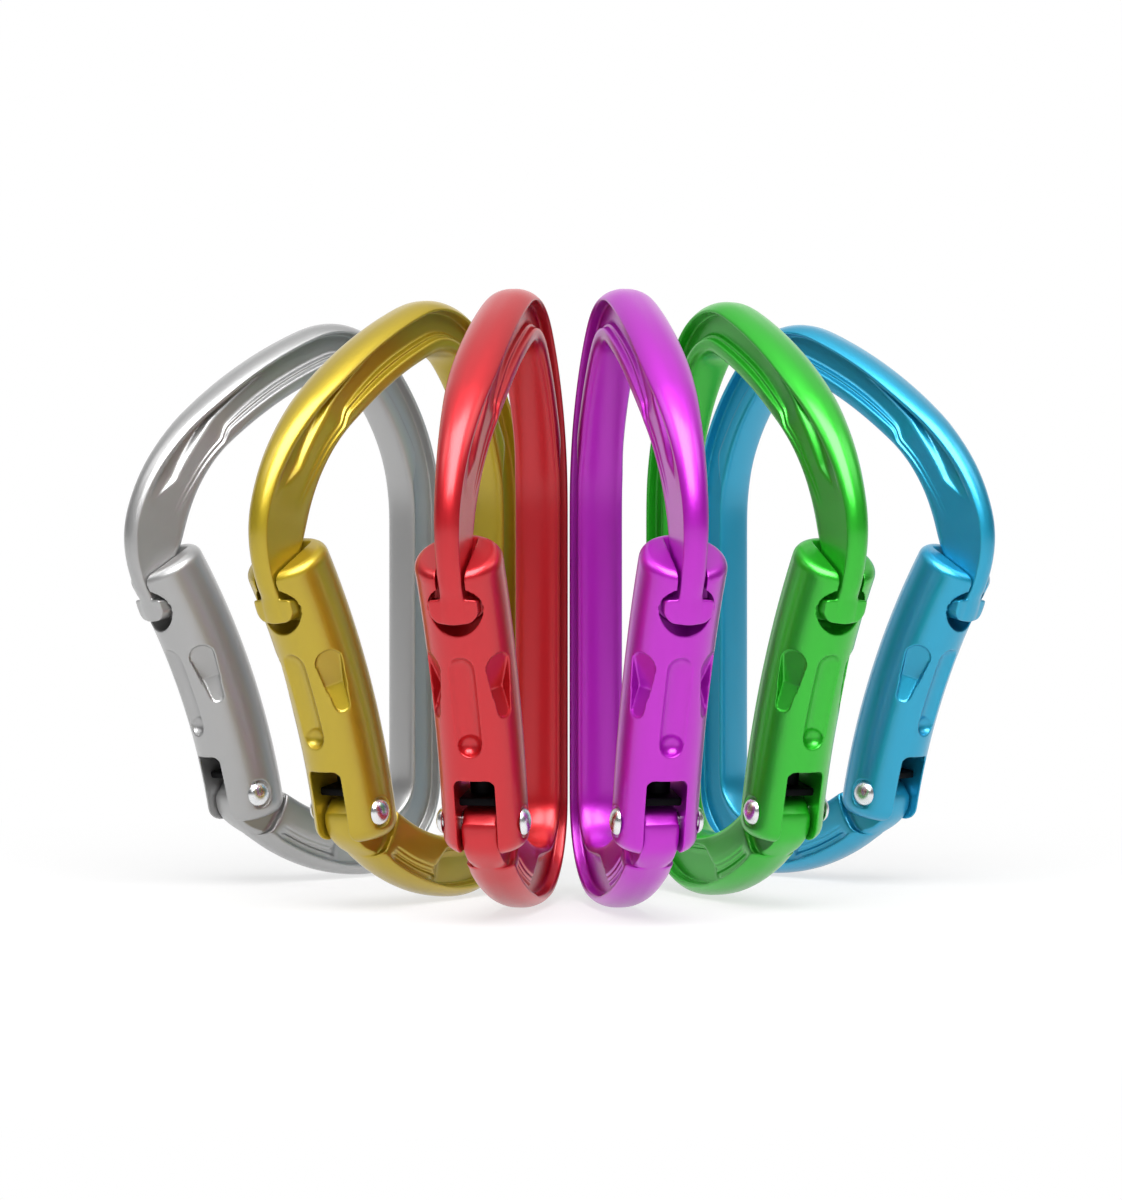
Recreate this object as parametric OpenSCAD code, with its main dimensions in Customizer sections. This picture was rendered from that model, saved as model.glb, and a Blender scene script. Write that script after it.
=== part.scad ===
// A set of six bent-gate carabiners that stand upright in a fan, three turned each way.
// Every piece is drawn flat: x runs from the spine to the gate, y up and z across the thickness.
// It is then stood up, turned and moved to its carabiner's place in the fan.

/* [Frame] */
// Height of a carabiner
frame_h = 100; // [94:0.5:110]
// Width of a carabiner, from the back of the spine to the front of the nose
frame_w = 66.5; // [63:0.5:73]
// Depth of the spine
spine_d = 8.6; // [7.8:0.1:9.6]
// Depth of the basket at the bottom
basket_d = 10.6; // [9.6:0.1:11.6]
// Depth of the bow at the top
bow_d = 9.2; // [8.4:0.1:10]
// Depth of the shoulder above the gate
shoulder_d = 11.4; // [10.6:0.1:12]
// Thickness across the flanges
flange_t = 7.6; // [7:0.1:8.4]
// Thickness of the web between the flanges
web_t = 4.8; // [3.8:0.1:5.6]
// Depth of the flanges beside the web's recess
flange_d = 2.3; // [2.1:0.1:2.6]
// Edge radius on the outside of the frame
outer_edge_r = 2; // [1.4:0.1:2.1]
// Edge radius on the inside of the frame
inner_edge_r = 1.2; // [0.8:0.1:1.3]
// Depth of the raised lands on the shoulder and the spine, beyond the flange
land_d = 2.4; // [1.4:0.1:2.8]
// Depth of the inner flange along the spine and the basket
spine_lip = 3.7; // [2.8:0.1:4]

/* [Frame curves] */
// Radius of the corner between the basket and the spine
corner_r = 12; // [10:0.5:14]
// Radius of the basket towards the hinge
basket_r = 38; // [34:1:44]
// Radius of the back, between the spine and the crown
back_r = 38; // [34:1:42]
// Radius of the crown at the top
crown_r = 11; // [9:0.5:13]
// Radius of the shoulder above the gate
shoulder_r = 33; // [29:1:37]
// Rise of the hinge arm, in degrees
arm_rise = 32; // [29:1:34]
// Straight length of the hinge arm
arm_l = 6.9; // [6.2:0.1:7.6]

/* [Nose] */
// Thickness of the stem
stem_t = 3.4; // [3:0.1:3.8]
// Length of the stem, from the shoulder to the head
stem_l = 15.3; // [14.3:0.1:16.3]
// Width of the head across the slot
head_w = 7.4; // [6.8:0.1:8]
// Height of the head
head_h = 5; // [4.4:0.1:5.4]

/* [Gate] */
// Diameter of the gate
gate_dia = 13.2; // [12.6:0.1:13.8]
// Bend radius of the gate's axis
gate_bend_r = 118; // [105:1:135]
// Distance of the nose head's centre from the gate's axis
head_out = 6.2; // [5.8:0.1:6.6]
// Length of the gate above the nose head
gate_over = 7.4; // [6.8:0.1:8]
// Length of the gate below the hinge
gate_under = 4.6; // [4.3:0.1:5]
// Chamfer round the gate's top
top_chamfer = 1; // [0.6:0.1:1.4]
// Radius of the domed ends of the gate's ears
ear_dome_r = 8; // [7.4:0.1:9]
// Height of the fork's window above the middle of the tail
window_h = 8.2; // [7.6:0.1:8.6]
// Corner radius of the fork's window
window_round = 1.2; // [0.8:0.1:1.6]
// Width of the front groove
groove_w = 4.4; // [4:0.1:4.8]
// Depth of the front groove
groove_depth = 0.8; // [0.7:0.1:0.9]
// Length of the front groove between its round ends
groove_l = 14; // [12:0.5:15]
// Turn of the scallops round the gate's axis from its front, in degrees
scallop_turn = 50; // [48:1:60]
// Width of the side scallops
scallop_w = 5; // [4.6:0.1:5.4]
// Length of the side scallops between their round ends
scallop_l = 6.6; // [6:0.1:7.2]
// Depth of the side scallops
scallop_depth = 1.3; // [1:0.1:1.5]

/* [Hinge and spring] */
// Thickness of the frame's tail in the fork
tail_t = 5.6; // [5.2:0.1:6]
// Radius of the tail's round end
tail_r = 4.7; // [4.4:0.1:4.9]
// Offset of the hinge from the middle of the tail's round end, to the front
hinge_offset = 1.2; // [1:0.1:1.4]
// Rise of the hinge over the middle of the tail's round end
hinge_rise = 1.9; // [1.6:0.1:2]
// Diameter of the rivet's shank
rivet_dia = 2.8; // [2.6:0.1:3]
// Diameter of the rivet's domed heads
rivet_head_dia = 4.2; // [3.9:0.1:4.6]
// Height of the rivet's domed heads
rivet_head_h = 1.2; // [0.9:0.1:1.4]
// Depth of the seats under the rivet's heads
rivet_seat = 0.35; // [0.25:0.05:0.5]
// Diameter of the spring bore
bore_dia = 4.4; // [4.2:0.1:4.6]
// Length of the spring bore
bore_l = 17; // [16:0.5:18]
// Length of the plunger
plunger_l = 6; // [5.4:0.1:6.6]
// Diameter of the spring's wire
wire_dia = 0.5; // [0.45:0.05:0.6]
// Number of the spring's curls
spring_curls = 6; // [5:1:7]

/* [Clearances] */
// Running gap round the rivet in the tail
running_gap = 0.06; // [0.04:0.01:0.09]
// Gap round the rivet in the gate's ears
rivet_gap = 0.02; // [0.01:0.01:0.04]
// Gap on each side of the tail in the fork
fork_gap = 0.35; // [0.3:0.05:0.45]
// Gap round the nose in the keyhole slot
nose_gap = 0.35; // [0.3:0.05:0.45]
// Gap round the plunger and the spring in their bore
bore_gap = 0.06; // [0.04:0.01:0.09]
// Gap between the plunger's tip and the tail, and at both ends of the spring
tip_gap = 0.1; // [0.08:0.01:0.15]

/* [Fan] */
// Turn of the silver carabiner to the left, in degrees from the front
silver_turn = 41.1; // [38:0.1:44]
// Distance of its spine to the left of the middle
silver_side = 23.1; // [22:0.1:26]
// Distance of its spine behind the front ones
silver_back = 46; // [43:0.1:50]
// Turn of the gold carabiner to the left, in degrees from the front
gold_turn = 54.4; // [51:0.1:57]
// Distance of its spine to the left of the middle
gold_side = 8; // [7.5:0.1:10]
// Distance of its spine behind the front ones
gold_back = 13.1; // [12:0.1:16]
// Turn of the red carabiner to the left, in degrees from the front
red_turn = 77.3; // [75:0.1:80]
// Distance of its spine to the left of the middle
red_side = 1.8; // [1.8:0.1:3]
// Turn of the violet carabiner to the right, in degrees from the front
violet_turn = 77; // [75:0.1:80]
// Distance of its spine to the right of the middle
violet_side = 5.1; // [5.1:0.1:6.5]
// Turn of the green carabiner to the right, in degrees from the front
green_turn = 65; // [62:0.1:68]
// Distance of its spine to the right of the middle
green_side = 17.9; // [17:0.1:21]
// Distance of its spine behind the front ones
green_back = 17.1; // [16:0.1:20]
// Turn of the blue carabiner to the right, in degrees from the front
blue_turn = 45.9; // [43:0.1:49]
// Distance of its spine to the right of the middle
blue_side = 27; // [26:0.1:30]
// Distance of its spine behind the front ones
blue_back = 49.5; // [46:0.1:53]

/* [Hidden] */
$fn = 48;
BEND_FN = 360;
COLOURS = ["silver", "gold", "red", "violet", "green", "blue"];
SHADES = ["#a8aaac", "#b89a2e", "#b3202b", "#a626b0", "#2aa334", "#2f9bc0"];
PIECES = ["frame", "gate", "hinge_rivet", "gate_spring", "spring_plunger"];
STEEL = "#c8ccd0";

// Unit vector at an angle
function unit(a) = [cos(a), sin(a)];
// Angle of a vector
function angle_of(v) = atan2(v[1], v[0]);
// Move along a right-hand arc of radius r, from heading a to heading b
function arc_move(r, a, b) = r * [sin(a) - sin(b), cos(b) - cos(a)];
// Smooth change from a to b as t goes from 0 to 1
function ease(a, b, t) = a + (b - a) * t * t * (3 - 2 * t);
// Sphere radius of a dome of base radius r and height h
function dome_r(r, h) = (r * r + h * h) / (2 * h);

// Headings of the frame's centreline where its arcs meet, clockwise from the hinge to the nose
arm_heading = 180 + arm_rise;
low_heading = 180;
spine_heading = 90;
crown_heading = 45;
bow_heading = -23;
shoulder_heading = -41;
stem_heading = -77;
head_heading = -180 - stem_heading;

// Points of the centreline where its arcs meet, from the height and the width
low_pt = [spine_d / 2 + corner_r, basket_d / 2];
arm_pt = low_pt - arc_move(basket_r, arm_heading, low_heading);
tail_pt = arm_pt - arm_l * unit(arm_heading);
spine_low_pt = low_pt + arc_move(corner_r, low_heading, spine_heading);
back_move = arc_move(back_r, spine_heading, crown_heading);
crown_rise = arc_move(crown_r, crown_heading, 0)[1];
spine_top_pt = [spine_d / 2, frame_h - bow_d / 2 - back_move[1] - crown_rise];
crown_pt = spine_top_pt + back_move;
bow_pt = crown_pt + arc_move(crown_r, crown_heading, bow_heading);
shoulder_move = arc_move(shoulder_r, shoulder_heading, stem_heading);
stem_front = shoulder_d / 2 * cos(90 + stem_heading);
bow_run = frame_w - stem_front - shoulder_move[0] - bow_pt[0];
bow_r = bow_run / (sin(bow_heading) - sin(shoulder_heading));
shoulder_pt = bow_pt + arc_move(bow_r, bow_heading, shoulder_heading);
stem_pt = shoulder_pt + shoulder_move;
stem_r = stem_l / (2 * sin(90 + stem_heading));
head_pt = stem_pt + arc_move(stem_r, stem_heading, head_heading);

// Sizes along the centreline
tail_d = 1.8 * tail_r;
arm_d = (2 * tail_r + basket_d) / 2;
crown_d = (spine_d + bow_d) / 2;
neck_d = 0.92 * head_h;
neck_t = stem_t + 0.4;
recess_slope = 0.6;
crown_drop = 0.3;

// The gate's axis is an arc through the tail's middle that passes the nose head at head_out
gate_r = gate_dia / 2;
reach = norm(head_pt - tail_pt);
reach_dir = (head_pt - tail_pt) / reach;
head_bend_r = gate_bend_r - head_out;
bend_along = (gate_bend_r ^ 2 - head_bend_r ^ 2 + reach ^ 2) / (2 * reach);
bend_across = sqrt(gate_bend_r ^ 2 - bend_along ^ 2);
bend_pt = tail_pt + bend_along * reach_dir + bend_across * [reach_dir[1], -reach_dir[0]];
deg_per_mm = 180 / (PI * gate_bend_r);
tail_angle = angle_of(tail_pt - bend_pt);
head_angle = angle_of(head_pt - bend_pt);

// The hinge lies in front of and above the tail's middle, square to and along the gate's axis
gate_low = hinge_rise - gate_under;
hinge_pt = tail_pt - hinge_offset * unit(tail_angle) + hinge_rise * unit(tail_angle - 90);
rivet_r = rivet_dia / 2;
rivet_head_r = rivet_head_dia / 2;
seat_z = sqrt(gate_r ^ 2 - hinge_offset ^ 2) - rivet_seat;
fork_w = tail_t + 2 * fork_gap;
ear_sweep_r = norm([gate_r + hinge_offset, window_h - hinge_rise]) + fork_gap;
head_sweep_angle = angle_of(head_pt - hinge_pt) - 90;

// The plunger and the spring lie in a straight bore that runs up from the tail's middle
bore_r = bore_dia / 2;
bore_heading = tail_angle - 90;
plunger_r = bore_r - bore_gap;
plunger_low = tail_r + tip_gap;
spring_low = plunger_low + plunger_l + tip_gap;
spring_high = window_h + bore_l - tip_gap;
coil_r = bore_r - bore_gap - wire_dia / 2;

// Front groove and side scallops, measured up the gate's axis from the tail's middle
groove_low = 14.2;
scallop_low = 19.4;
groove_lip = sqrt(gate_r ^ 2 - (groove_w / 2) ^ 2);
groove_sink = groove_lip - (gate_r - groove_depth);
groove_r = ((groove_w / 2) ^ 2 + groove_sink ^ 2) / (2 * groove_sink);
groove_path_r = gate_bend_r - gate_r + groove_depth - groove_r;
scoop_extra = 0.15;
scoop_r = 0.7 * groove_r;

// Places in the fan, with the middle of the box at the origin
TURNS = [silver_turn, gold_turn, red_turn, violet_turn, green_turn, blue_turn];
SIDES = [-silver_side, -gold_side, -red_side, violet_side, green_side, blue_side];
BACKS = [silver_back, gold_back, 0, 0, green_back, blue_back];
edge_cut = outer_edge_r * (1 - sqrt(0.5));
function reach_side(turn) = frame_w * cos(turn) + stem_t / 2 * sin(turn);
function reach_front(turn) = frame_w * sin(turn) + stem_t / 2 * cos(turn);
function reach_rear(turn) = (flange_t / 2 - edge_cut) * cos(turn) - edge_cut * sin(turn);
left_x = -silver_side - reach_side(silver_turn);
right_x = blue_side + reach_side(blue_turn);
front_y = -max(reach_front(red_turn), reach_front(violet_turn));
rear_y = max(silver_back + reach_rear(silver_turn), blue_back + reach_rear(blue_turn));
fan_x = -(left_x + right_x) / 2;
fan_y = -(front_y + rear_y) / 2;

// Faces of a solid that skins a row of rings, each of count points, clockwise seen from its start
function skin_faces(rings, count) = concat(
    [[for (j = [0 : count - 1]) j]],
    [for (i = [0 : rings - 2]) for (j = [0 : count - 1]) let (k = (j + 1) % count)
        each [[i * count + j, (i + 1) * count + j, (i + 1) * count + k],
              [i * count + j, (i + 1) * count + k, i * count + k]]],
    [[for (j = [count - 1 : -1 : 0]) (rings - 1) * count + j]]);

module skin(rings) {
    polyhedron([for (ring = rings) each ring], skin_faces(len(rings), len(rings[0])));
}

// Half of the frame's section as [distance from the outside, height], from the outside in
function half_section(d, w, web, outer_lip, inner_lip) =
    let (ro = min(outer_edge_r, 0.8 * w), ri = min(inner_edge_r, 0.6 * w), s = sqrt(0.5),
         lip = min(outer_lip, d - inner_lip - 2 * recess_slope - 0.3))
    [[crown_drop, w - ro], [ro * (1 - s), w - ro * (1 - s)], [ro, w], [lip, w], [lip + recess_slope, web],
     [d - inner_lip - recess_slope, web], [d - inner_lip, w],
     [d - ri * (1 - s), w - ri * (1 - s)], [d - crown_drop / 2, w - ri]];

// One ring of the frame: the section at a point of the centreline, square to its heading
function frame_ring(at, heading, d, w, web, outer_lip, inner_lip) =
    let (inward = unit(heading - 90), start = at - d / 2 * inward,
         half = half_section(d, w, web, outer_lip, inner_lip),
         place = function (r, z) [start[0] + r * inward[0], start[1] + r * inward[1], z])
    concat([place(0, 0)], [for (p = half) place(p[0], p[1])], [place(d, 0)],
           [for (i = [len(half) - 1 : -1 : 0]) place(half[i][0], -half[i][1])]);

// Stretches of the centreline: [start, length or radius, headings, depths, thicknesses, webs, places of rings]
full = flange_t / 2;
web = web_t / 2;
neck = neck_t / 2;
STRETCHES = [
    [tail_pt, arm_l, [arm_heading, arm_heading], [tail_d, arm_d], [full, full], [full, web], [0, 0.6]],
    [arm_pt, basket_r, [arm_heading, low_heading], [arm_d, basket_d], [full, full], [web, web], [0 : 0.25 : 0.9]],
    [low_pt, corner_r, [low_heading, spine_heading], [basket_d, spine_d], [full, full], [web, web],
     [0 : 1 / 6 : 0.9]],
    [spine_low_pt, spine_top_pt[1] - spine_low_pt[1], [spine_heading, spine_heading], [spine_d, spine_d],
     [full, full], [web, web], [0, 0.5]],
    [spine_top_pt, back_r, [spine_heading, crown_heading], [spine_d, crown_d], [full, full], [web, web],
     [0 : 0.2 : 0.9]],
    [crown_pt, crown_r, [crown_heading, bow_heading], [crown_d, bow_d], [full, full], [web, web],
     [0 : 1 / 6 : 0.9]],
    [bow_pt, bow_r, [bow_heading, shoulder_heading], [bow_d, bow_d], [full, full], [web, web],
     [0, 0.33, 0.66, 0.94]],
    [shoulder_pt, shoulder_r, [shoulder_heading, stem_heading], [bow_d, shoulder_d], [full, neck], [web, neck],
     [0, 0.2, 0.4, 0.5, 0.56, 0.78]],
    [stem_pt, stem_r, [stem_heading, head_heading], [shoulder_d, neck_d], [neck, stem_t / 2], [neck, stem_t / 2],
     [0 : 0.2 : 1]]];
BACK = 4;
SHOULDER = 7;
BACK_LAND_END = 0.2;
LAND_END = 0.5;

// Depth of the outer and inner lips beside the recess: the back and the shoulder start with a raised land
function outer_lip(k, t) =
    flange_d + (k == BACK && t <= BACK_LAND_END || k == SHOULDER && t <= LAND_END ? land_d : 0);
function inner_lip(k) = k >= SHOULDER ? inner_edge_r + 0.2 : k < BACK ? spine_lip : flange_d;

function stretch_ring(k, t) =
    let (s = STRETCHES[k], a = s[2][0], b = s[2][1], heading = a + (b - a) * t,
         at = s[0] + (a == b ? s[1] * t * unit(a) : arc_move(s[1], a, heading)))
    frame_ring(at, heading, ease(s[3][0], s[3][1], t), ease(s[4][0], s[4][1], t),
               ease(s[5][0], s[5][1], t), outer_lip(k, t), inner_lip(k));

module frame_bar() {
    skin([for (k = [0 : len(STRETCHES) - 1]) for (t = STRETCHES[k][6]) stretch_ring(k, t)]);
}

// The nose's head: a cross bar with round ends
module nose_head() {
    translate(head_pt) rotate(head_sweep_angle) intersection() {
        cylinder(h = head_w, d = head_h, center = true);
        rotate([0, 90, 0]) cylinder(h = head_h, d = head_w, center = true);
    }
}

module frame() {
    difference() {
        union() {
            frame_bar();
            translate(tail_pt) cylinder(h = (tail_t + flange_t) / 2, r = tail_r, center = true);
            nose_head();
        }
        translate(hinge_pt) cylinder(h = flange_t, r = rivet_r + running_gap, center = true);
        for (side = [-1, 1]) translate([hinge_pt[0], hinge_pt[1], side * (tail_t + flange_t) / 2])
            cylinder(h = flange_t, r = ear_sweep_r, center = true);
    }
}

// Moves its child to the gate's axis, at a distance up from the tail's middle, with y along the axis
module on_axis(up) {
    angle = tail_angle - up * deg_per_mm;
    translate(bend_pt + gate_bend_r * unit(angle)) rotate(angle - 180) children();
}

// The round bar along the gate's axis, between two distances up from the tail's middle
module bent_bar(low, high, path_r, bar_r) {
    translate(bend_pt) rotate(tail_angle - high * deg_per_mm)
        rotate_extrude(angle = (high - low) * deg_per_mm, $fn = BEND_FN) translate([path_r, 0]) circle(bar_r);
}

// The bar with a chamfered top and domed ears
module gate_bar() {
    outside = 2;
    top_up = (tail_angle - head_angle) / deg_per_mm + gate_over;
    difference() {
        bent_bar(gate_low - outside, top_up + outside, gate_bend_r, gate_r);
        on_axis(top_up) rotate([-90, 0, 0]) rotate_extrude() polygon([
            [0, 0], [gate_r - top_chamfer, 0], [gate_r + outside, -top_chamfer - outside],
            [gate_r + outside, 2 * outside], [0, 2 * outside]]);
        on_axis(gate_low + ear_dome_r) rotate([90, 0, 0]) difference() {
            cylinder(h = ear_dome_r + 2 * outside, r = gate_r + outside);
            sphere(ear_dome_r);
        }
    }
}

// Keyhole for the nose: a slot for the stem over a round pocket that the head leaves forwards
module keyhole() {
    pocket_r = head_w / 2 + nose_gap;
    pocket_back = head_h / 2 + nose_gap;
    slot_w = neck_t + 2 * nose_gap;
    stem_in = unit(head_heading - 90) * (neck_d / 2 + nose_gap);
    neck_in = unit(stem_heading - 90) * (shoulder_d / 2 + nose_gap);
    low_in = head_pt + stem_in;
    high_in = low_in + 1.3 * (stem_pt + neck_in - low_in);
    ahead = [gate_dia, 0];
    translate(head_pt) rotate(head_sweep_angle) translate([-pocket_back, -nose_gap, 0])
        rotate([0, 90, 0]) cylinder(h = pocket_back + gate_dia, r = pocket_r);
    linear_extrude(slot_w, center = true) polygon([low_in, high_in, high_in + 2 * ahead, low_in + ahead]);
}

// Fork at the bottom: a slot for the tail whose window has round upper corners
module fork_slot() {
    round_z = fork_w / 2 - window_round;
    on_axis(window_h - window_round) {
        translate([-gate_dia, -2 * gate_dia, -fork_w / 2]) cube([2 * gate_dia, 2 * gate_dia, fork_w]);
        translate([-gate_dia, -window_round, -round_z]) cube([2 * gate_dia, 2 * window_round, 2 * round_z]);
        for (side = [-1, 1]) translate([-gate_dia, 0, side * round_z])
            rotate([0, 90, 0]) cylinder(h = 2 * gate_dia, r = window_round);
    }
}

module front_groove() {
    bent_bar(groove_low, groove_low + groove_l, groove_path_r, groove_r);
    for (up = [groove_low, groove_low + groove_l]) on_axis(up)
        translate([gate_r - groove_depth - scoop_extra + scoop_r, 0, 0]) sphere(scoop_r);
}

// Moves its child to the floor of a scallop, at a distance up from the tail's middle, with z outwards
module on_scallop(up) {
    on_axis(up) rotate([0, 90 - scallop_turn, 0]) translate([0, 0, gate_r - scallop_depth]) children();
}

module side_scallop() {
    wide_r = scallop_w / 2;
    slim_r = wide_r - scallop_depth;
    on_scallop(scallop_low + scallop_l) cylinder(h = gate_r, r = wide_r);
    on_scallop(scallop_low) cylinder(h = gate_r, r = slim_r);
    on_scallop(scallop_low) translate([-slim_r, 0, 0]) cube([2 * slim_r, scallop_l, gate_r]);
}

module gate() {
    difference() {
        gate_bar();
        keyhole();
        fork_slot();
        front_groove();
        side_scallop();
        mirror([0, 0, 1]) side_scallop();
        translate(hinge_pt) cylinder(h = 2 * gate_dia, r = rivet_r + rivet_gap, center = true);
        for (side = [0, 1]) mirror([0, 0, side]) translate([hinge_pt[0], hinge_pt[1], seat_z])
            cylinder(h = gate_r, r = rivet_head_r + fork_gap);
        in_bore(0) cylinder(h = window_h + bore_l, r = bore_r);
    }
}

// Moves its child into the spring bore, at a distance up from the tail's middle, with z along the bore
module in_bore(up) {
    translate(tail_pt + up * unit(bore_heading)) rotate(bore_heading) rotate([0, 90, 0]) children();
}

module hinge_rivet() {
    dome = dome_r(rivet_head_r, rivet_head_h);
    translate(hinge_pt) {
        cylinder(h = 2 * seat_z, r = rivet_r, center = true);
        for (side = [0, 1]) mirror([0, 0, side]) translate([0, 0, seat_z]) intersection() {
            translate([0, 0, rivet_head_h - dome]) sphere(dome);
            cylinder(h = rivet_head_h, r = rivet_head_r);
        }
    }
}

module spring_plunger() {
    in_bore(plunger_low + plunger_r) {
        cylinder(h = plunger_l - plunger_r, r = plunger_r);
        sphere(plunger_r);
    }
}

// One ring of the spring's wire, at a share of its length
function wire_ring(t) =
    let (turn = 360 * spring_curls * t, rise = spring_high - spring_low - wire_dia,
         out = [cos(turn), sin(turn), 0], slope = rise / (2 * PI * coil_r * spring_curls),
         ahead = [-sin(turn), cos(turn), slope] / norm([1, slope]), side = cross(ahead, out))
    [for (i = [0 : 5]) coil_r * out + [0, 0, wire_dia / 2 + rise * t]
        + wire_dia / 2 * (cos(60 * i) * out + sin(60 * i) * side)];

module gate_spring() {
    rings = 8 * spring_curls;
    in_bore(spring_low) skin([for (i = [0 : rings]) wire_ring(i / rings)]);
}
pitch_gap = (spring_high - spring_low - wire_dia) / spring_curls - wire_dia;
echo(least_gap_between_spring_curls = pitch_gap);

// Stands its child up at the place of carabiner i in the fan
module in_fan(i) {
    translate([SIDES[i] + fan_x, BACKS[i] + fan_y, 0]) rotate(i < 3 ? 180 + TURNS[i] : -TURNS[i])
        rotate([90, 0, 0]) children();
}

for (i = [0 : len(COLOURS) - 1]) in_fan(i) {
    color(SHADES[i]) frame();
    color(SHADES[i]) gate();
    color(STEEL) hinge_rivet();
    color(STEEL) gate_spring();
    color(STEEL) spring_plunger();
}
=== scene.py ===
# %% [markdown]
# # Six bent-gate carabiners in a fan
#
# A carabiner is a forged aluminium hook that a sprung gate closes. This lesson dresses six equal ones,
# which stand side by side in six anodised colours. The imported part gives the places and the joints. Blender
# adds the soft forged edges, the fine steps in the recesses and the satin finish.
#
# One frame, one gate, one rivet, one plunger and one spring are modelled flat, in millimetres, in the
# drawing that all six share: x runs from the spine to the gate, y runs up and z runs across the thickness.
# Each is then copied six times and stood up, because equal carabiners come out of one die.

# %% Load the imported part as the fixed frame
import math

import bmesh
import bpy
from mathutils import Matrix, Vector


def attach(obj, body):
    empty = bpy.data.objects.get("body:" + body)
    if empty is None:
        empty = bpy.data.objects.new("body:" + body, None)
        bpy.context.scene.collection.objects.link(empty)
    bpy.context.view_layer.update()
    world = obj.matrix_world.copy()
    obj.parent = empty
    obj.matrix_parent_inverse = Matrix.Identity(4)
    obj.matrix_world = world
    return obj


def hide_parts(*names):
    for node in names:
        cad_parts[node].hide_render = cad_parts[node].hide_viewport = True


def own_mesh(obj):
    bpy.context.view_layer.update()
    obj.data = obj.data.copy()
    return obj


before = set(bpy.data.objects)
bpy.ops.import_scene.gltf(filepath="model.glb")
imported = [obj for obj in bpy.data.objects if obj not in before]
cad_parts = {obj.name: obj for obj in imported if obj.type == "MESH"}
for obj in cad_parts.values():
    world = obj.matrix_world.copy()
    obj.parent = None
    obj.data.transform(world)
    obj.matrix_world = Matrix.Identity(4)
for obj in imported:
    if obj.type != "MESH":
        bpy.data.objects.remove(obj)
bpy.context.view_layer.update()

# %% [markdown]
# ## Camera
#
# The camera stands level, at half the height of the set and some 440 mm from its middle. From further away,
# a longer lens would flatten the fan. At this distance the inner carabiners, which are nearer, look larger
# than the outer ones. A small lens shift moves the set a little off the middle of the picture, and leaves
# all upright lines upright.

# %% Camera
MM = 0.001
CAMERA_AT = Vector((0, -441.03, 50)) * MM
FOCAL_MM, SENSOR_MM = 79.72, 36
SHIFT_PIXELS, FRAME_PIXELS = 1.7, 1200
NEAREST_SEEN = 0.01

camera_data = bpy.data.cameras.new("camera")
camera_data.lens = FOCAL_MM
camera_data.sensor_width = SENSOR_MM
camera_data.shift_x = SHIFT_PIXELS / FRAME_PIXELS
camera_data.clip_start = NEAREST_SEEN
camera = bpy.data.objects.new("camera", camera_data)
camera.location = CAMERA_AT
camera.rotation_euler = (math.radians(90), 0, 0)
bpy.context.scene.collection.objects.link(camera)
bpy.context.scene.camera = camera
print("camera", tuple(camera.location))

# %% [markdown]
# ## Helpers for modelling by hand
#
# Blender's operators act on what is selected, so each step first deselects everything and then selects
# points, edges or faces by their place. These helpers do that, add primitives, open a piece in edit mode
# and apply modifiers.

# %% Selecting and applying
def only(piece):
    """Deselects everything but one piece, in object mode."""
    if bpy.context.object and bpy.context.object.mode != "OBJECT":
        bpy.ops.object.mode_set(mode="OBJECT")
    bpy.ops.object.select_all(action="DESELECT")
    piece.select_set(True)
    bpy.context.view_layer.objects.active = piece


def add(primitive, **settings):
    """Adds a primitive with nothing else selected."""
    bpy.ops.object.select_all(action="DESELECT")
    primitive(**settings)
    return bpy.context.object


def start(piece, name):
    """Names a piece and opens it in edit mode, with nothing selected in it."""
    only(piece)
    piece.name = piece.data.name = name
    bpy.ops.object.mode_set(mode="EDIT")
    bpy.ops.mesh.select_all(action="DESELECT")


def pick(kind, test):
    """Selects the points, edges or faces of the open piece that pass a test, and counts them."""
    bpy.ops.mesh.select_mode(type=kind)
    bpy.ops.mesh.select_all(action="DESELECT")
    mesh = bpy.context.edit_object.data
    bm = bmesh.from_edit_mesh(mesh)
    parts = {"VERT": bm.verts, "EDGE": bm.edges, "FACE": bm.faces}[kind]
    count = 0
    for part in parts:
        corners = [part] if kind == "VERT" else part.verts
        middle = sum((v.co for v in corners), Vector()) / len(corners)
        if test(middle, part):
            part.select_set(True)
            count += 1
    bm.select_flush_mode()
    bmesh.update_edit_mesh(mesh)
    return count


def draw_line(name, points):
    """Starts a piece as a line through points: a plane shrunk to one point, and that point pulled on."""
    piece = add(bpy.ops.mesh.primitive_plane_add, size=1)
    start(piece, name)
    bpy.ops.mesh.select_mode(type="VERT")
    bpy.ops.mesh.select_all(action="SELECT")
    bpy.ops.mesh.merge(type="CENTER")
    bpy.ops.mesh.select_all(action="SELECT")
    bpy.ops.transform.translate(value=points[0])
    for here, there in zip(points, points[1:]):
        bpy.ops.mesh.extrude_region_move(TRANSFORM_OT_translate={"value": there - here})
    return piece


def finish_with(piece, kind, **settings):
    """Adds a modifier with its settings to a piece and applies it."""
    only(piece)
    modifier = piece.modifiers.new(kind.lower(), kind)
    for key, value in settings.items():
        setattr(modifier, key, value)
    bpy.ops.object.modifier_apply(modifier=modifier.name)


def tidy(piece, merge=0.002):
    """Merges doubles and turns all faces outwards."""
    only(piece)
    bpy.ops.object.mode_set(mode="EDIT")
    bpy.ops.mesh.select_all(action="SELECT")
    bpy.ops.mesh.remove_doubles(threshold=merge)
    bpy.ops.mesh.normals_make_consistent(inside=False)
    bpy.ops.object.mode_set(mode="OBJECT")


print("modelling in Blender", bpy.app.version_string)

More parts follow.
